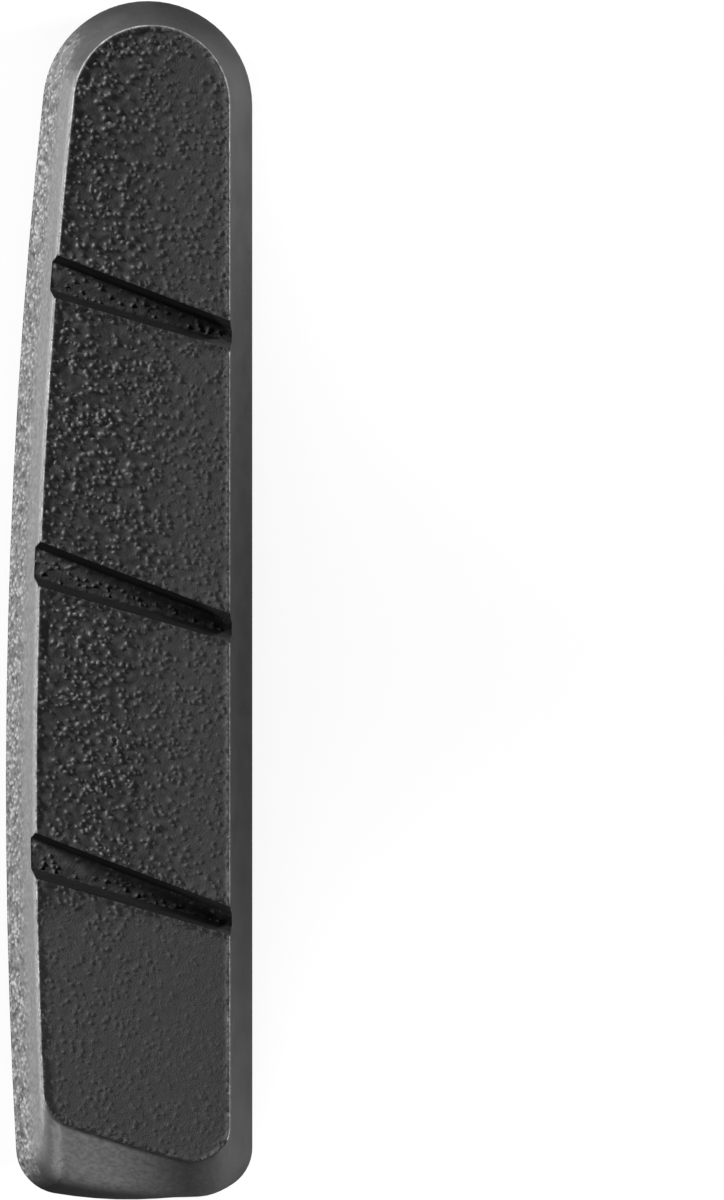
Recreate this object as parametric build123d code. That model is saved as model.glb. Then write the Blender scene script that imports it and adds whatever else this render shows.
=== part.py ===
from build123d import *
from math import cos, radians, sin, sqrt, tan
import os

# Brake pad insert for a road bicycle's rim brake, moulded in one piece of rubber compound.
# It lies on its back with the friction face up. +Y points to the rounded nose, and -X to the
# curved side, which faces the tyre. The origin is on the back face, under the middle of the
# pad's length and width. Sizes are in millimetres and degrees.

# Plan of the skirt, the widest outline of the pad
pad_length = 55.0
pad_width = 11.3
track_radius = 295.0  # curved side, struck to the outer edge of a rim's brake track
widest_from_tail = 18.8  # place along the pad where the curved side stands out most
tail_end_radius = 20.0  # bow of the tail end
skirt_corner_radius = 2.1  # tail corner on the curved side
skirt_straight_radius = 2.0  # tail corner on the straight side
rim_edge_radius = 0.3

# Heights, stacked up from the back face
rail_height = 2.2
neck_height = 1.6
rim_height = 0.8  # upright edge of the skirt
flare_height = 2.0  # flank that slopes in above the rim
block_height = 3.0  # friction block, the part that wears

# Lean of the walls from upright
block_draft = 2.5
flare_draft = 28.0
ramp_lean = 39.5  # tail end of the block
end_lean = 8.0  # tail end of the flare
bend_softness = 0.7  # how gently a wall turns from one lean to the other

# Friction face
face_tail_slant = 17.3  # the face ends nearly in line with the grooves
face_tail_radius = 80.0
face_corner_radius = 1.7  # tail corner on the curved side
face_straight_radius = 1.65  # tail corner on the straight side
face_edge_radius = 0.15

# Drain grooves across the block
groove_count = 3
groove_pitch = 13.35
middle_groove_y = 0.3
groove_depth = 2.3
groove_slant = 18.6
groove_width = 1.6  # at the face, on the pad's centre line
groove_taper = 4.6  # angle between the two edges, wider towards the curved side
groove_draft = 8.0

# Back: neck and rail that slide in the holder, parallel to the straight side
rail_width = 8.6
neck_width = 6.6
rail_tail_setback = 0.8  # from the tail end of the skirt
rail_corner_radius = 0.8
rail_edge_chamfer = 0.3  # lead-in for the holder

# Notch in the rail's straight side for the holder's retaining screw
notch_width = 3.2
notch_depth = 2.0
notch_from_tail = 9.0

# Number of outlines that the wall is lofted through, and how far a cutter runs past the pad
outline_count = 11
cut_margin = 1.0

half_length = pad_length / 2
half_width = pad_width / 2
skirt_underside = rail_height + neck_height
skirt_top = skirt_underside + rim_height
wall_height = flare_height + block_height
face_height = skirt_top + wall_height

# The nose is a full round. Its circle touches the nose end and the straight side, and touches the
# curved side's circle from inside, so its radius r solves
# (across + r)^2 + (along - r)^2 = (track_radius - r)^2.
track_centre = Vector(track_radius - half_width, widest_from_tail - half_length)
across = track_radius - pad_width
along = pad_length - widest_from_tail
half_linear = across - along + track_radius
nose_radius = sqrt(half_linear**2 + track_radius**2 - across**2 - along**2) - half_linear
nose_centre = Vector(half_width - nose_radius, half_length - nose_radius)
nose_direction = (nose_centre - track_centre).normalized()


def soft_bend(depth):
    """Zero above the foot of the block, then the depth below it, with a soft change between."""
    below_foot = depth - block_height
    return (below_foot + sqrt(below_foot**2 + bend_softness**2)) / 2


def wall_run(depth, block_lean, flare_lean):
    """How far a wall has moved outwards at a depth below the face: two slopes with a soft bend."""
    change = tan(radians(flare_lean)) - tan(radians(block_lean))
    return depth * tan(radians(block_lean)) + change * (soft_bend(depth) - soft_bend(0))


def between(face_value, skirt_value, depth):
    """Value at a depth, going evenly from the face to the top of the skirt."""
    return face_value + (skirt_value - face_value) * depth / wall_height


def tail_cutter(depth):
    """Area beyond the pad's tail edge at a depth below the face."""
    setback = wall_run(wall_height, ramp_lean, end_lean) - wall_run(depth, ramp_lean, end_lean)
    slant = radians(between(face_tail_slant, 0, depth))
    radius = 1 / between(1 / face_tail_radius, 1 / tail_end_radius, depth)
    tail_middle = Vector(0, setback - half_length)
    centre = tail_middle + Vector(sin(slant), cos(slant)) * radius
    beyond = Rectangle(2 * radius, 2 * radius, align=(Align.CENTER, Align.MAX))
    return Pos(centre.X, centre.Y) * (beyond - Circle(radius))


def pad_outline(depth):
    """Outline of the pad at a depth below the face."""
    inset = wall_run(wall_height, block_draft, flare_draft) - wall_run(depth, block_draft, flare_draft)
    straight_x = half_width - inset
    side_radius = track_radius - inset
    tip_radius = nose_radius - inset
    past_tail = -half_length - cut_margin
    past_tail_x = track_centre.X - sqrt(side_radius**2 - (past_tail - track_centre.Y) ** 2)

    nose_start = Vector(straight_x, nose_centre.Y)
    nose_tip = nose_centre + Vector(0, tip_radius)
    nose_end = nose_centre + nose_direction * tip_radius
    widest = track_centre - Vector(side_radius, 0)
    sides = Polyline((past_tail_x, past_tail), (straight_x, past_tail), nose_start)
    sides += ThreePointArc(nose_start, nose_tip, nose_end)
    sides += ThreePointArc(nose_end, widest, (past_tail_x, past_tail))

    outline = make_face(sides) - tail_cutter(depth)
    curved_corner, straight_corner = outline.vertices().sort_by(Axis.Y)[:2].sort_by(Axis.X)
    outline = fillet(straight_corner, between(face_straight_radius, skirt_straight_radius, depth))
    curved_corner = outline.vertices().sort_by_distance(curved_corner)[0]
    return fillet(curved_corner, between(face_corner_radius, skirt_corner_radius, depth))


def make_body():
    """Skirt and friction block, without grooves."""
    depths = [wall_height * step / (outline_count - 1) for step in range(outline_count)]
    wall = loft([Pos(0, 0, face_height - depth) * pad_outline(depth) for depth in depths])
    rim = extrude(Pos(0, 0, skirt_underside) * pad_outline(wall_height), rim_height)
    body = wall + rim
    body = fillet(body.edges().group_by(Axis.Z)[-1], face_edge_radius)
    return fillet(body.edges().group_by(Axis.Z)[0], rim_edge_radius)


def groove_plan(height):
    """Plan of a groove's cutter, as its walls stand at a height above the groove floor."""
    half_middle = groove_width / 2 - (groove_depth - height) * tan(radians(groove_draft))
    reach = (half_width + cut_margin) / cos(radians(groove_slant))
    narrowing = reach * tan(radians(groove_taper / 2))
    wide = half_middle + narrowing
    narrow = half_middle - narrowing
    plan = Polygon((-reach, -wide), (reach, -narrow), (reach, narrow), (-reach, wide), align=None)
    return Pos(0, 0, height) * plan


def make_grooves():
    """Cutters for the drain grooves, in their places on the block."""
    cutter = loft([groove_plan(0), groove_plan(groove_depth + cut_margin)], ruled=True)
    cutter = Rot(0, 0, -groove_slant) * cutter
    first_y = middle_groove_y - groove_pitch * (groove_count - 1) / 2
    floor_height = face_height - groove_depth
    return [Pos(0, first_y + groove_pitch * row, floor_height) * cutter for row in range(groove_count)]


def rail_outline(width):
    """Plan of the neck or the rail: squared at the tail, full round at the nose."""
    tail = rail_tail_setback - half_length
    straight_length = nose_centre.Y - tail
    bar = Pos(nose_centre.X, tail) * Rectangle(width, straight_length, align=(Align.CENTER, Align.MIN))
    bar += Pos(nose_centre.X, nose_centre.Y) * Circle(width / 2)
    return fillet(bar.vertices().group_by(Axis.Y)[0], rail_corner_radius)


def make_back():
    """Neck and rail, with the retaining notch."""
    neck = extrude(Pos(0, 0, rail_height) * rail_outline(neck_width), neck_height)
    rail = extrude(rail_outline(rail_width), rail_height)
    rail = chamfer(rail.edges().group_by(Axis.Z)[0], rail_edge_chamfer)
    rail_side = nose_centre.X + rail_width / 2
    notch_end = rail_side - notch_depth + notch_width / 2
    notch_reach = half_width + cut_margin - notch_end
    notch = Circle(notch_width / 2) + Rectangle(notch_reach, notch_width, align=(Align.MIN, Align.CENTER))
    notch = Pos(notch_end, notch_from_tail - half_length) * notch
    return neck + rail - extrude(notch, rail_height)


brake_pad = make_body() - make_grooves() + make_back()

os.makedirs("parts", exist_ok=True)
export_step(brake_pad, "parts/brake_pad.step")
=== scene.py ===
from dataclasses import dataclass
from math import cos, pi, radians, sin, sqrt

import bmesh
import bpy
import numpy as np
from mathutils import Matrix, Vector, noise
from mathutils.bvhtree import BVHTree
from mathutils.geometry import delaunay_2d_cdt
from mathutils.kdtree import KDTree


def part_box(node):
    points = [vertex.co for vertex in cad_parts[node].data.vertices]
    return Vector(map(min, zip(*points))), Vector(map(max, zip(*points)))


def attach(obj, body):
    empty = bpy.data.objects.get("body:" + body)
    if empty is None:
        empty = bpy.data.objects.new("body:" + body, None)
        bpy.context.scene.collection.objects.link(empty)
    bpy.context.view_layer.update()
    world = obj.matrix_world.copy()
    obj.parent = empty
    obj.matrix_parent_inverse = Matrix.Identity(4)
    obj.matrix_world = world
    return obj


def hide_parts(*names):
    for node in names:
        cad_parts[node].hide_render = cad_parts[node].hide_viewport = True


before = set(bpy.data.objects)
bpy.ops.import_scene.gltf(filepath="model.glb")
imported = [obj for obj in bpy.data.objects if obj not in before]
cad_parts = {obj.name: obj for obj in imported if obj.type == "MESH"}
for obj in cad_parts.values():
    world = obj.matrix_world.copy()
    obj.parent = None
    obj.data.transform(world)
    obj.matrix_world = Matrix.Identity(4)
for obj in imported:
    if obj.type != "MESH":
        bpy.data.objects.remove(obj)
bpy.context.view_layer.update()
scene = bpy.context.scene

# The pad lies on its back with the friction face up, its nose towards +Y and its curved side towards -X.
# The mesh is made in millimetres and scaled to metres at the end.
MM = 0.001
UP = Vector((0, 0, 1))
pad_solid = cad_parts["brake_pad"]

# Heights on the pad and the rounding of the face's edge, as in the solid
face_height = (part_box("brake_pad")[1] / MM).z
face_edge_radius = 0.15
groove_depth = 2.3
groove_floor_height = face_height - groove_depth
rim_bottom = 4.1  # where the rim's lower rounding ends
skirt_top = 4.6
flare_top = 6.6
groove_reach = 18.0  # the grooves lie within this distance of the pad's middle

# Where the rubber's finish and its painted light change, each from a first place to a second
face_grain_fade_x = (-1.5, 3.5)  # the grain gets lower across the face, and its tones evener, which is painted fill light
last_block_y = (-12.5, -15.0)  # and on the last block
flare_z = (skirt_top, flare_top)
above_foot_z = (flare_top - 1.2, flare_top - 0.3)  # up from the foot of the flare on the curved side
side_spots_z = (flare_top + 0.6, face_height - 0.9)  # pale spots high on the curved side
ramp_painted_light_x = (3.6, -2.0)  # the painted reflection and light on the tail ramp grow towards the curved side
ramp_painted_light_z = (skirt_top + 1.2, flare_top + 0.8)  # and higher up
ramp_edge_z = (face_height - 0.1, face_height - 0.35)  # but not along its top

# How far a wall's normal points some way, which tells its finish
curved_side_facing = 0.4  # least, to -X
ramp_facing = 0.3  # least, to the tail
ramp_rise = 0.05  # least, up
groove_wall_facing = 0.9  # least, along the pad
groove_wall_rise = 0.3  # most, up or down
flat_rise = 0.999  # least, up
side_edge_rise = 0.1  # up, where the face's rounded edge ends at the sides
tail_edge_rise = 0.68  # up, where it ends at the tail

# Finishes of the rubber, in the order of the pad's material slots
SMOOTH, CURVED_SIDE, RAMP, FACE, GROOVE_FLOOR, GROOVE_WALL = range(6)

# What the mesh says of the rubber at its points, each from 0 to 1: how high the point stands in the grain,
# whose tone is partly rubbing and partly painted light and shade, how grained the surface is there,
# and how pale, partly wear and partly painted light
SHARES = ("rub_and_painted_shade", "grained", "wear_and_painted_light")


@dataclass
class Grain:
    """Mould grain: pips on an uneven ground that lies just under the solid's surface. Sizes are in mm."""

    pip_count: int
    pip_gap: float  # nearest that two pips come, middle to middle
    pip_radius: tuple  # smallest and largest
    ring_corners: tuple  # mesh points in each ring round a pip, the last ring at its foot
    ground_spacing: float
    ground_drop: float
    ground_waves: tuple  # length and height of each
    lip_width: tuple = (0.04, 0.10)  # narrowest and widest band where the ground comes up to the rim


face_grain = Grain(
    pip_count=3000,
    pip_gap=0.17,
    pip_radius=(0.055, 0.12),
    ring_corners=(5, 7),
    ground_spacing=0.15,
    ground_drop=0.09,
    ground_waves=((0.32, 0.030), (0.9, 0.008)),
    lip_width=(0.06, 0.40),
)
floor_grain = Grain(
    pip_count=450,
    pip_gap=0.17,
    pip_radius=(0.05, 0.11),
    ring_corners=(5, 7),
    ground_spacing=0.15,
    ground_drop=0.05,
    ground_waves=((0.35, 0.014), (0.9, 0.010)),
)
side_grain = Grain(
    pip_count=2500,
    pip_gap=0.18,
    pip_radius=(0.07, 0.13),
    ring_corners=(6,),
    ground_spacing=0.16,
    ground_drop=0.07,
    ground_waves=((0.32, 0.02),),
)
ramp_grain = Grain(
    pip_count=350,
    pip_gap=0.2,
    pip_radius=(0.06, 0.12),
    ring_corners=(6,),
    ground_spacing=0.17,
    ground_drop=0.02,
    ground_waves=((0.4, 0.006),),
)
throws_per_pip = 5  # more are thrown than are kept
kept_share = 0.8  # mean share of the throws that may become pips
cluster_strength = 0.6  # how far that share changes between clusters and gaps
cluster_size = 0.7
small_pip_bias = 1.5  # above 1, small pips are commoner than large ones
pip_steepness = 1.1  # height as a share of the radius
flattest_pip = 0.5  # as a share of that height
pip_stretch = 0.6  # 0 for round pips, towards 1 for long ones
pip_patch_size = 2.5  # patches of taller and lower pips on the face
edge_spot_size = 0.5  # pale spots along the face's edge, partly wear and partly painted highlight
ground_jitter = 0.25  # as a share of the spacing
painted_fill_level = 0.15  # height in the grain whose tone the painted fill light evens the grain towards

# Mesh points
weld_gap = 0.0001
plan_gap = 1e-7  # nearer points in a patch's plan are one
point_gap = 0.045  # nearest that two new points come
height_slack = 0.01  # most that a flat face lies off its height
edge_spacing = 0.1
edge_rows = (0.03, 0.09)  # rows of points on a rounded edge, in from its rim
rounded_edge_lean = 0.3  # least that the surface leans out at the rim of a rounded edge
edge_rub = 0.07  # most that a sharp edge is worn back
edge_rub_share = (0.2, 1)  # least and most of that at a point
straight_run = 0.9  # least cosine between the walls on both sides of a worn point
rounding_bend = radians(50)  # faces that bend less run on as one rounding
sharp_bend = radians(45)  # an edge that bends more is sharp
crisp_bend = radians(38)  # an edge that bends more is shaded crisp
clear_of_pad = 100.0  # distance at which a ray towards the pad starts
INSIDE_ONLY = 1  # the triangulation's number for leaving out what lies beyond the rim

rng = np.random.default_rng(7)


def fade(low, high, value):
    """Goes smoothly from 0 to 1 between two values."""
    share = min(max((value - low) / (high - low), 0.0), 1.0)
    return share * share * (3 - 2 * share)


def tailward(normal):
    """How far a wall faces the tail, from 1 to -1 where it faces the nose. A level face gives 0."""
    return -normal.y / max(normal.xy.length, 0.001)


# Mesh of the pad


def wall_finish(face):
    """Finish of a wall, from its height and the way that it faces."""
    centre, normal = face.calc_center_median(), face.normal
    in_groove = groove_floor_height < centre.z < face_height and abs(centre.y) < groove_reach
    if in_groove and abs(normal.y) > groove_wall_facing and abs(normal.z) < groove_wall_rise:
        return GROOVE_WALL
    between_edges = rim_bottom < centre.z < face_height - face_edge_radius
    if between_edges and normal.x < -curved_side_facing:
        return CURVED_SIDE
    if skirt_top < centre.z and normal.z > ramp_rise and tailward(normal) > ramp_facing:
        return RAMP
    return SMOOTH


def solid_copy():
    """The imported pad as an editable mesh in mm, with its split corners welded and its finishes marked."""
    pad = bmesh.new()
    pad.from_mesh(pad_solid.data)
    bmesh.ops.scale(pad, vec=(1 / MM, 1 / MM, 1 / MM), verts=pad.verts)
    bmesh.ops.remove_doubles(pad, verts=pad.verts, dist=weld_gap)
    pad.normal_update()
    for face in pad.faces:
        face.material_index = wall_finish(face)
    mark_flats(pad, FACE, face_height)
    mark_flats(pad, GROOVE_FLOOR, groove_floor_height)
    for finish in (FACE, CURVED_SIDE, RAMP):
        fill_pinholes(pad, finish)
    return pad


def on_flat(face, height):
    """Whether a face lies flat at a height, or on the rounded edge that runs on from there.

    The rounded edge ends where it is as steep as the wall below it: nearly upright at the sides, and leaning
    at the tail.
    """
    if face.calc_center_median().z < height - face_edge_radius:
        return False
    at_tail = fade(0.1, 0.7, tailward(face.normal))
    return face.normal.z > side_edge_rise + (tail_edge_rise - side_edge_rise) * at_tail


def mark_flats(pad, finish, height):
    """Marks the flat faces at a height, and the rounded edges that run on from them."""
    level = [f for f in pad.faces if f.normal.z > flat_rise]
    flats = [f for f in level if abs(f.calc_center_median().z - height) < height_slack]
    while flats:
        face = flats.pop()
        face.material_index = finish
        for edge in face.edges:
            if edge.calc_face_angle() < rounding_bend:
                flats += [f for f in edge.link_faces if f.material_index != finish and on_flat(f, height)]


def fill_pinholes(pad, finish):
    """Gives a finish to the stray faces that lie within it."""
    left = {f: None for f in pad.faces if f.material_index != finish}
    islands = []
    while left:
        island = [left.popitem()[0]]
        for face in island:
            for near in [f for e in face.edges for f in e.link_faces if f in left]:
                left.pop(near)
                island.append(near)
        islands.append(island)
    for island in sorted(islands, key=len)[:-1]:
        for face in island:
            face.material_index = finish


def patch_edges(pad, finish):
    """Edges between a finish and the rest of the pad."""
    return [e for e in pad.edges if sum(f.material_index == finish for f in e.link_faces) == 1]


def split_edges(pad, edges, spacing):
    """Adds points along edges so that no part of them is longer than the spacing."""
    by_cuts = {}
    for edge in edges:
        cuts = int(np.ceil(edge.calc_length() / spacing)) - 1
        if cuts > 0:
            by_cuts.setdefault(cuts, []).append(edge)
    for cuts in sorted(by_cuts):
        bmesh.ops.subdivide_edges(pad, edges=by_cuts[cuts], cuts=cuts)
    bmesh.ops.triangulate(pad, faces=[f for f in pad.faces if len(f.verts) > 3])


def nearness(points):
    """A tree that finds the nearest of some points."""
    tree = KDTree(len(points))
    for index, point in enumerate(points):
        tree.insert(point, index)
    tree.balance()
    return tree


def lattice(low, high, spacing):
    """Places on a jittered triangular lattice over a rectangle."""
    row_height = spacing * sin(pi / 3)
    rows = int((high[1] - low[1]) / row_height) + 1
    columns = int((high[0] - low[0]) / spacing) + 1
    row, column = np.mgrid[0:rows, 0:columns]
    places = np.stack([low[0] + (column + 0.5 * (row % 2)) * spacing, low[1] + row * row_height], axis=-1)
    jitter = rng.uniform(-ground_jitter, ground_jitter, (rows * columns, 2))
    return places.reshape(-1, 2) + jitter * spacing


def spread(places, gap):
    """Numbers of the places that come no nearer than the gap to an earlier one."""
    cells = {}
    kept = []
    for index, (x, y) in enumerate(places):
        column, row = int(x // gap), int(y // gap)
        near = [p for i in (-1, 0, 1) for j in (-1, 0, 1) for p in cells.get((column + i, row + j), ())]
        if all((x - u) ** 2 + (y - v) ** 2 >= gap * gap for u, v in near):
            cells.setdefault((column, row), []).append((x, y))
            kept.append(index)
    return kept


class Patch:
    """The faces of one finish, seen from a side from which they hide no part of each other."""

    def __init__(self, pad, finish, across, up):
        self.pad = pad
        self.finish = finish
        self.across = Vector(across)
        self.up = Vector(up)
        self.out = self.across.cross(self.up)
        corners = [v.co.copy() for f in pad.faces if f.material_index == finish for v in f.verts]
        triangles = [(i, i + 1, i + 2) for i in range(0, len(corners), 3)]
        self.surface = BVHTree.FromPolygons(corners, triangles, all_triangles=True)
        split_edges(pad, patch_edges(pad, finish), edge_spacing)
        self.faces = [f for f in pad.faces if f.material_index == finish]
        self.edges = patch_edges(pad, finish)
        self.rim = list(dict.fromkeys(v for e in self.edges for v in e.verts))
        self.rim_flat = [(v.co.dot(self.across), v.co.dot(self.up)) for v in self.rim]
        self.rim_tree = nearness([v.co for v in self.rim])
        self.low = np.min(self.rim_flat, axis=0)
        self.high = np.max(self.rim_flat, axis=0)

    def on_surface(self, place):
        """Point, outward normal and distance from the rim at a place in the view, or None off the patch."""
        start = self.across * place[0] + self.up * place[1] + self.out * clear_of_pad
        point, normal, _, _ = self.surface.ray_cast(start, -self.out)
        return (point, normal, self.rim_tree.find(point)[2]) if point else None

    def rub_sharp_rim(self):
        """Wears the rim back unevenly where it is a sharp outer edge: its points go down the next wall."""
        moves = {}
        for edge in self.edges:
            face, wall = sorted(edge.link_faces, key=lambda f: f.material_index != self.finish)
            if edge.is_convex and face.normal.angle(wall.normal) > sharp_bend:
                down = wall.normal.cross(edge.verts[1].co - edge.verts[0].co).normalized()
                down *= -1 if down.dot(face.normal) > 0 else 1
                for v in edge.verts:
                    moves.setdefault(v, []).append(down)
        for v in self.rim:
            downs = moves.get(v, [])
            if len(downs) == 2 and downs[0].dot(downs[1]) > straight_run:
                v.co += downs[0] * edge_rub * rng.uniform(*edge_rub_share)

    def lay(self, places, points, shares):
        """Puts finer faces in place of the patch's own, between its rim and new points at their places."""
        rim_index = {v: i for i, v in enumerate(self.rim)}
        sides = [(rim_index[e.verts[0]], rim_index[e.verts[1]]) for e in self.edges]
        flat = [Vector(p) for p in [*self.rim_flat, *places]]
        _, _, triangles, sources, _, _ = delaunay_2d_cdt(flat, sides, [], INSIDE_ONLY, plan_gap)
        bmesh.ops.delete(self.pad, geom=self.faces, context="FACES")
        layers = [self.pad.verts.layers.float[name] for name in SHARES]
        corners = list(self.rim)
        for point, point_shares in zip(points, shares):
            corner = self.pad.verts.new(point)
            for layer, share in zip(layers, point_shares):
                corner[layer] = share
            corners.append(corner)
        for triangle in triangles:
            face = self.pad.faces.new([corners[sources[i][0]] for i in triangle])
            face.material_index = self.finish
        self.pad.normal_update()


def scatter_pips(patch, grain):
    """Place, long axis, radius and height of each pip, thrown in loose clusters and kept a little apart."""
    throw_count = grain.pip_count * throws_per_pip
    throws = rng.uniform(patch.low, patch.high, (throw_count, 2))
    sizes = rng.random((throw_count, 4))
    small, large = grain.pip_radius
    pips = []
    for index in spread(throws, grain.pip_gap):
        place = Vector(throws[index])
        size, height, turn, luck = sizes[index]
        crowding = kept_share + cluster_strength * noise.noise(place.to_3d() / cluster_size)
        if len(pips) < grain.pip_count and luck < crowding and patch.on_surface(place):
            radius = small + (large - small) * size**small_pip_bias
            full_height = pip_steepness * radius
            height = min(full_height * (flattest_pip + (1 - flattest_pip) * height), grain.ground_drop)
            axis = Vector((cos(pi * turn), sin(pi * turn)))
            pips.append((place, axis, radius, height))
    return pips


def pip_places(pips, ring_corners):
    """Places that give each pip its shape: its top, and rings of points round it."""
    places = [place for place, _, _, _ in pips]
    for ring, corners in enumerate(ring_corners, 1):
        for place, axis, radius, _ in pips:
            start = rng.uniform(0, 2 * pi)
            for corner in range(corners):
                angle = start + 2 * pi * corner / corners
                out = Vector((cos(angle), sin(angle)))
                reach = radius / sqrt(1 - pip_stretch * out.dot(axis) ** 2)
                places.append(place + out * reach * ring / len(ring_corners))
    return places


def pip_rise(pip, place):
    """Height of a pip at a place."""
    centre, axis, radius, height = pip
    offset = place - centre
    share = (offset.length_squared - pip_stretch * offset.dot(axis) ** 2) / radius**2
    return height * (1 - share) ** 2 if share < 1 else 0.0


def ground_height(point, grain):
    """Uneven height of the ground between the pips."""
    return sum(height * noise.noise(point / length) for length, height in grain.ground_waves)


def edge_places(patch):
    """Places along the rounded edge of a patch, in rows."""
    places = []
    for v, place in zip(patch.rim, patch.rim_flat):
        normal = patch.surface.find_nearest(v.co)[1]
        outwards = Vector((normal.dot(patch.across), normal.dot(patch.up)))
        if outwards.length > rounded_edge_lean:
            places += [Vector(place) - outwards.normalized() * inset for inset in edge_rows]
    return places


def face_finish(point, normal):
    """Height of the pips, depth of the ground, painted fill light and pale edge spots on the friction face.

    The grain is full towards the curved side, and lower towards the straight side and on the last block,
    where its tones are evened as painted fill light. The rounded edge has pale spots, partly wear and partly
    painted highlight.
    """
    across = fade(*face_grain_fade_x, point.x)
    along = fade(*last_block_y, point.y)
    pips = (1 - 0.45 * across) * (1 - 0.6 * along) * (0.85 + 0.3 * noise.noise(point / pip_patch_size))
    on_edge = fade(0.985, 0.93, normal.z)
    # Pale spots on the rounded edge, partly wear and partly painted highlight, and none at the tail
    wear_and_painted_light = fade(0.93, 0.72, normal.z) * rng.uniform(0.4, 1)
    wear_and_painted_light *= (0.75 + 0.6 * noise.noise(point / edge_spot_size)) * (1 - fade(0.3, 0.8, tailward(normal)))
    # The grain's tones are evened towards the straight side and on the last block, which is painted fill
    # light
    return pips, 1 - on_edge, 0.75 * max(across, along), wear_and_painted_light


def floor_finish(point, normal):
    """The same for the groove floors, which have no painted fill light and no pale wear or painted light."""
    return 1.0, 1.0, 0.0, 0.0


def flank_painted_light(point, normal):
    """Painted light on the flanks: a little up the flare, and more on the tail ramp, as a painted reflection
    and light that grow towards the curved side.
    """
    # The tail ramp is paler, a painted reflection and painted light, towards the curved side, higher up and
    # not along its top
    ramp = 0.11 * fade(0.25, 0.5, tailward(normal)) + 0.60 * fade(0.62, 0.96, tailward(normal))
    ramp *= fade(*ramp_painted_light_x, point.x) * fade(*ramp_painted_light_z, point.z)
    ramp *= fade(*ramp_edge_z, point.z)
    # The flare is a little paler higher up, which is painted light
    return 0.015 * fade(*flare_z, point.z) + ramp


def flank_speckle(point, normal):
    """How speckled the smooth flanks are: only a little, round the nose and on the tail ramp."""
    ends = 0.1 * fade(0.3, 0.8, -tailward(normal)) + 0.1 * fade(0.3, 0.7, tailward(normal))
    return ends * fade(*flare_z, point.z)


def ramp_finish(point, normal):
    """The same as face_finish gives, for the tail ramp."""
    return 1.0, flank_speckle(point, normal), 0.0, flank_painted_light(point, normal) * rng.uniform(0.7, 1.3)


def side_finish(point, normal):
    """The same for the curved side.

    The grain is full on the foot of the flare, weaker above it, and fades out towards the nose and the tail,
    where it keeps longest to the foot.
    """
    sideways = -normal.x / normal.xy.length
    above_foot = fade(*above_foot_z, point.z)
    grained = fade(0.58 + 0.22 * above_foot, 0.97 + 0.02 * above_foot, sideways)
    spots = 0.5 * fade(*side_spots_z, point.z) * rng.uniform(0, 1) ** 2
    # Pale tone: the flanks' painted light, and paler above the foot and in spots high up
    wear_and_painted_light = flank_painted_light(point, normal) + (0.12 * above_foot + spots) * fade(0.9, 0.99, sideways)
    grained = max(grained * (1 - 0.5 * above_foot), flank_speckle(point, normal))
    return 1 - 0.6 * above_foot, grained, 0.0, wear_and_painted_light


def lay_grain(patch, grain, finish):
    """Lays grain on a patch, as strong and as worn as a finish says at each point."""
    pips = scatter_pips(patch, grain)
    pip_tree = nearness([place.to_3d() for place, _, _, _ in pips])
    pip_reach = grain.pip_radius[1] / sqrt(1 - pip_stretch)
    candidates = edge_places(patch) + pip_places(pips, grain.ring_corners)
    candidates += [Vector(place) for place in lattice(patch.low, patch.high, grain.ground_spacing)]
    places, points, shares = [], [], []
    for index in spread(candidates, point_gap):
        place = candidates[index]
        hit = patch.on_surface(place)
        if hit and hit[2] > point_gap:
            point, normal, rim_distance = hit
            pip_share, depth_share, painted_fill, wear_and_painted_light = finish(point, normal)
            near_pips = [pips[pip] for _, pip, _ in pip_tree.find_range(place.to_3d(), pip_reach)]
            rise = max((pip_rise(pip, place) for pip in near_pips), default=0.0)
            height = min(pip_share * (rise + ground_height(point, grain)) - grain.ground_drop, 0)
            from_edge = fade(0, rng.uniform(*grain.lip_width), rim_distance)
            places.append(place)
            points.append(point + normal * height * depth_share * from_edge)
            # Tone from the height in the grain: pale tops partly rubbing and partly painted light, dark
            # hollows painted shade, evened where painted fill light is
            rub_and_painted_shade = 1 + height / grain.ground_drop
            shares.append((rub_and_painted_shade + (painted_fill_level - rub_and_painted_shade) * painted_fill, depth_share, wear_and_painted_light))
    patch.lay(places, points, shares)


def mark_flanks(pad):
    """Gives the flanks' own points their speckle, and their pale tone, which is painted light and reflection.
    """
    grained = pad.verts.layers.float["grained"]
    wear_and_painted_light = pad.verts.layers.float["wear_and_painted_light"]
    for v in pad.verts:
        flanks = [f for f in v.link_faces if f.material_index in (SMOOTH, CURVED_SIDE, RAMP)]
        if flanks and all(f in flanks or f.material_index == FACE for f in v.link_faces):
            normal = sum((f.normal * f.calc_area() for f in flanks), Vector()).normalized()
            v[grained] = flank_speckle(v.co, normal)
            v[wear_and_painted_light] = flank_painted_light(v.co, normal)


def shade_edges(pad):
    """Shades the pad smooth, but crisp along its sharp bends, except within one grained finish."""
    for face in pad.faces:
        face.smooth = True
    for edge in pad.edges:
        finishes = {f.material_index for f in edge.link_faces}
        within_grain = len(finishes) == 1 and SMOOTH not in finishes
        edge.smooth = edge.calc_face_angle(0) < crisp_bend or within_grain


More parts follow.
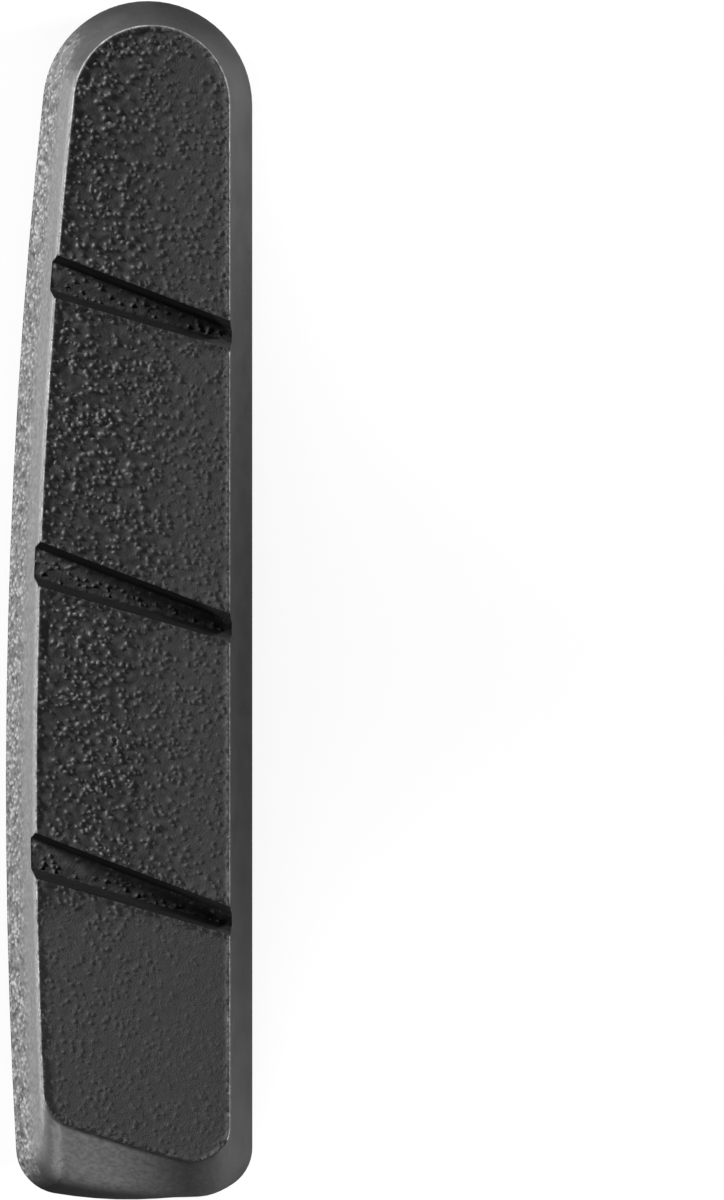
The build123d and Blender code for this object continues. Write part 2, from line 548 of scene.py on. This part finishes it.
def make_pad():
    """The pad's visible piece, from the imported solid."""
    pad = solid_copy()
    for name in SHARES:
        pad.verts.layers.float.new(name)
    mark_flanks(pad)

    # Each patch is seen from the side that it faces, the ramp from behind and above
    face_patch = Patch(pad, FACE, (1, 0, 0), (0, 1, 0))
    face_patch.rub_sharp_rim()
    lay_grain(face_patch, face_grain, face_finish)
    floor_patch = Patch(pad, GROOVE_FLOOR, (1, 0, 0), (0, 1, 0))
    floor_patch.rub_sharp_rim()
    lay_grain(floor_patch, floor_grain, floor_finish)
    side_patch = Patch(pad, CURVED_SIDE, (0, -1, 0), (0, 0, 1))
    lay_grain(side_patch, side_grain, side_finish)
    ramp_patch = Patch(pad, RAMP, (1, 0, 0), (0, sqrt(0.5), sqrt(0.5)))
    lay_grain(ramp_patch, ramp_grain, ramp_finish)

    shade_edges(pad)
    bmesh.ops.scale(pad, vec=(MM, MM, MM), verts=pad.verts)
    mesh = bpy.data.meshes.new("brake_pad_rubber")
    pad.to_mesh(mesh)
    pad.free()
    piece = bpy.data.objects.new("brake_pad_rubber", mesh)
    scene.collection.objects.link(piece)
    return piece


rubber_pad = make_pad()

# Rubber


@dataclass
class Look:
    """Tones, gloss and fine texture of a rubber surface. Tones are grey levels, and sizes are in mm."""

    smooth_tones: tuple  # darkest and palest where it has no grain
    grained_tones: tuple  # deep in the grain and on top of it: dark hollows as painted shade, pale tops partly rubbing and partly painted light
    speckle: float  # how much paler the fine mottle makes the grain
    sheen: float  # strength of mirrored light, 0.5 for plain plastic
    roughness: tuple  # lowest and highest
    mottle_size: float
    texture_size: float
    texture_depth: float


flank_look = Look(
    smooth_tones=(0.028, 0.039),
    grained_tones=(0.042, 0.260),
    speckle=0.5,
    sheen=0.2,
    roughness=(0.55, 0.70),
    mottle_size=1.2,
    texture_size=0.10,
    texture_depth=0.006,
)
friction_look = Look(
    smooth_tones=(0.060, 0.080),
    grained_tones=(0.046, 0.262),
    speckle=0.06,
    sheen=0.05,
    roughness=(0.75, 0.90),
    mottle_size=0.8,
    texture_size=0.08,
    texture_depth=0.02,
)
# Groove walls take the smooth tones, darker than the flanks', as painted shade
groove_look = Look(
    smooth_tones=(0.024, 0.034),
    grained_tones=(0.072, 0.220),
    speckle=0.06,
    sheen=0.0,
    roughness=(0.60, 0.75),
    mottle_size=0.8,
    texture_size=0.08,
    texture_depth=0.02,
)
# Tone of the pale marks, partly wear and partly painted light and reflection
wear_and_painted_light_tone = 0.50
speckle_size = 0.2
mottle_range = (0.3, 0.7)  # part of the noise that is stretched to go from 0 to 1


def calculate(tree, operation, *values):
    """Result of a math node on numbers and other nodes' outputs."""
    node = tree.nodes.new("ShaderNodeMath")
    node.operation = operation
    for socket, value in zip(node.inputs, values):
        if isinstance(value, float):
            socket.default_value = value
        else:
            tree.links.new(value, socket)
    return node.outputs[0]


def new_group(name, inputs, output):
    """An empty shader node group with number inputs and one number output."""
    group = bpy.data.node_groups.new(name, "ShaderNodeTree")
    for label, value in inputs.items():
        socket = group.interface.new_socket(label, in_out="INPUT", socket_type="NodeSocketFloat")
        socket.default_value = value
    group.interface.new_socket(output, in_out="OUTPUT", socket_type="NodeSocketFloat")
    return group, group.nodes.new("NodeGroupInput"), group.nodes.new("NodeGroupOutput")


def pattern_noise(group, size, detail):
    """Noise on the pad's own surface, with patches of a size that a group input gives in millimetres."""
    place = group.nodes.new("ShaderNodeTexCoord")
    pattern = group.nodes.new("ShaderNodeTexNoise")
    pattern.inputs["Detail"].default_value = detail
    group.links.new(place.outputs["Object"], pattern.inputs["Vector"])
    group.links.new(calculate(group, "DIVIDE", 1 / MM, size), pattern.inputs["Scale"])
    return pattern.outputs["Fac"]


def mottle_group():
    """Uneven tone of the compound, from 0 to 1."""
    group, given, put_out = new_group("compound_mottle", {"Patch size": 1.0}, "Mottle")
    stretch = group.nodes.new("ShaderNodeMapRange")
    stretch.inputs["From Min"].default_value, stretch.inputs["From Max"].default_value = mottle_range
    group.links.new(pattern_noise(group, given.outputs["Patch size"], detail=4.0), stretch.inputs["Value"])
    group.links.new(stretch.outputs["Result"], put_out.inputs["Mottle"])
    return group


def texture_group():
    """Fine texture of the mould's surface, as a height."""
    group, given, put_out = new_group("mould_texture", {"Grain size": 0.1}, "Height")
    height = pattern_noise(group, given.outputs["Grain size"], detail=3.0)
    group.links.new(height, put_out.inputs["Height"])
    return group


compound_mottle = mottle_group()
mould_texture = texture_group()


def place_group(material, group, values):
    """A node group in a material, with its own values. Gives the group's output."""
    node = material.node_tree.nodes.new("ShaderNodeGroup")
    node.node_tree = group
    for label, value in values.items():
        node.inputs[label].default_value = value
    return node.outputs[0]


def mix_colour(material, share, tone_a, tone_b):
    """Goes between two colours, each a grey level or another node's colour, by a share."""
    mix = material.node_tree.nodes.new("ShaderNodeMix")
    mix.data_type = "RGBA"
    material.node_tree.links.new(share, mix.inputs["Factor"])
    for tone, side in ((tone_a, "A"), (tone_b, "B")):
        if isinstance(tone, float):
            mix.inputs[side].default_value = (tone, tone, tone, 1)
        else:
            material.node_tree.links.new(tone, mix.inputs[side])
    return mix.outputs["Result"]


def surface_share(material, name):
    """A share that the mesh carries at its points."""
    share = material.node_tree.nodes.new("ShaderNodeAttribute")
    share.attribute_name = name
    return share.outputs["Fac"]


def rubber(name, look):
    """Dark rubber compound: mottled, paler where its grain stands up and darker in its hollows, partly
    rubbing and partly painted light and shade, with the fine texture of the mould.
    """
    material = bpy.data.materials.new(name)
    material.use_nodes = True
    nodes, links = material.node_tree.nodes, material.node_tree.links
    shader = nodes["Principled BSDF"]
    shader.inputs["Specular IOR Level"].default_value = look.sheen
    mottle = place_group(material, compound_mottle, {"Patch size": look.mottle_size})
    fine_mottle = place_group(material, compound_mottle, {"Patch size": speckle_size})
    texture = place_group(material, mould_texture, {"Grain size": look.texture_size})

    smooth_colour = mix_colour(material, mottle, *look.smooth_tones)
    # Paler grain tops, partly rubbing and partly painted light, and darker hollows as painted shade
    rub_and_painted_shade = surface_share(material, "rub_and_painted_shade")
    speckled = calculate(material.node_tree, "MULTIPLY_ADD", fine_mottle, look.speckle, rub_and_painted_shade)
    grained_colour = mix_colour(material, speckled, *look.grained_tones)
    colour = mix_colour(material, surface_share(material, "grained"), smooth_colour, grained_colour)
    # Pale marks, partly wear and partly painted light and reflection
    colour = mix_colour(material, surface_share(material, "wear_and_painted_light"), colour, wear_and_painted_light_tone)
    links.new(colour, shader.inputs["Base Color"])

    gloss = nodes.new("ShaderNodeMapRange")
    gloss.inputs["To Min"].default_value, gloss.inputs["To Max"].default_value = look.roughness
    links.new(mottle, gloss.inputs["Value"])
    links.new(gloss.outputs["Result"], shader.inputs["Roughness"])

    bump = nodes.new("ShaderNodeBump")
    bump.inputs["Distance"].default_value = look.texture_depth * MM
    links.new(texture, bump.inputs["Height"])
    links.new(bump.outputs["Normal"], shader.inputs["Normal"])
    return material


flank_rubber = rubber("flank_rubber", flank_look)
friction_rubber = rubber("friction_rubber", friction_look)
groove_rubber = rubber("groove_rubber", groove_look)
finish_rubber = {
    SMOOTH: flank_rubber,
    CURVED_SIDE: flank_rubber,
    RAMP: flank_rubber,
    FACE: friction_rubber,
    GROOVE_FLOOR: groove_rubber,
    GROOVE_WALL: groove_rubber,
}
for finish in sorted(finish_rubber):
    rubber_pad.data.materials.append(finish_rubber[finish])

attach(rubber_pad, "root")
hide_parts("brake_pad")

# Camera


def aim(thing, target, up):
    """Turns a camera or lamp to look at a point, with a given way up."""
    back = (thing.location - target).normalized()
    right = up.cross(back).normalized()
    thing.rotation_mode = "QUATERNION"
    thing.rotation_quaternion = Matrix((right, back.cross(right), back)).transposed().to_quaternion()


view_centre = Vector((10.69, 0.02, 4.6)) * MM
view_height = 55.1 * MM
camera_data = bpy.data.cameras.new("camera")
camera = bpy.data.objects.new("camera", camera_data)
scene.collection.objects.link(camera)
scene.camera = camera
camera.location = Vector((-22.4, 9.66, 704.6)) * MM
aim(camera, view_centre, Vector((0, 1, 0)))
camera_data.sensor_width = 36.0
camera_data.lens = camera_data.sensor_width * (camera.location - view_centre).length / view_height
camera_data.clip_end = 10.0

# Light, in metres and watts

pad_middle = Vector((0, 0, 0.007))


def lamp(name, kind, place, power):
    """A lamp that looks at the pad."""
    data = bpy.data.lights.new(name, kind)
    data.energy = power
    thing = bpy.data.objects.new(name, data)
    thing.location = place
    scene.collection.objects.link(thing)
    aim(thing, pad_middle, UP)
    thing.visible_camera = False
    return data


def soft_box(name, place, size, power):
    """A flat lamp of a width and height."""
    data = lamp(name, "AREA", place, power)
    data.shape = "RECTANGLE"
    data.size, data.size_y = size


def bulb(name, place, radius, power):
    """A small round lamp that shines all round."""
    data = lamp(name, "POINT", place, power)
    data.shadow_soft_size = radius


soft_box("key_along_the_face", place=(-0.567, 0.301, 0.102), size=(0.1, 0.05), power=10.4)
soft_box("sky_over_the_tail", place=(-0.05, -0.24, 0.39), size=(0.3, 0.3), power=0.70)
bulb("fill_by_the_nose", place=(0.030, 0.029, 0.008), radius=0.004, power=0.048)
bulb("fill_by_the_tail", place=(0.026, -0.030, 0.008), radius=0.004, power=0.025)

sky_strength = 0.02
world = bpy.data.worlds.new("studio")
scene.world = world
world.use_nodes = True
world.node_tree.nodes["Background"].inputs["Color"].default_value = (1, 1, 1, 1)
world.node_tree.nodes["Background"].inputs["Strength"].default_value = sky_strength

# Floor, which the camera sees as white

floor_reach = 3.0
paper_tone = 0.2
camera_glow = 0.85
mirrored_glow = 0.06


def white_paper():
    """Paper that glows white to the camera and faintly in gloss and glass, and lights the pad as grey."""
    paper = bpy.data.materials.new("white_paper")
    paper.use_nodes = True
    nodes, links = paper.node_tree.nodes, paper.node_tree.links
    shader = nodes["Principled BSDF"]
    shader.inputs["Base Color"].default_value = (paper_tone, paper_tone, paper_tone, 1)
    shader.inputs["Roughness"].default_value = 1.0
    shader.inputs["Specular IOR Level"].default_value = 0.0
    glow = nodes.new("ShaderNodeEmission")
    seen = nodes.new("ShaderNodeLightPath").outputs
    mirrored = calculate(paper.node_tree, "MAXIMUM", seen["Is Glossy Ray"], seen["Is Transmission Ray"])
    to_camera = calculate(paper.node_tree, "MULTIPLY", seen["Is Camera Ray"], camera_glow)
    strength = calculate(paper.node_tree, "MULTIPLY_ADD", mirrored, mirrored_glow, to_camera)
    links.new(strength, glow.inputs["Strength"])
    both = nodes.new("ShaderNodeAddShader")
    links.new(shader.outputs[0], both.inputs[0])
    links.new(glow.outputs[0], both.inputs[1])
    links.new(both.outputs[0], nodes["Material Output"].inputs["Surface"])
    return paper


floor_corners = [(x * floor_reach, y * floor_reach, 0) for x, y in ((-1, -1), (1, -1), (1, 1), (-1, 1))]
floor_mesh = bpy.data.meshes.new("floor")
floor_mesh.from_pydata(floor_corners, [], [(0, 1, 2, 3)])
floor_mesh.materials.append(white_paper())
floor = bpy.data.objects.new("floor", floor_mesh)
scene.collection.objects.link(floor)

scene.view_settings.view_transform = "Standard"
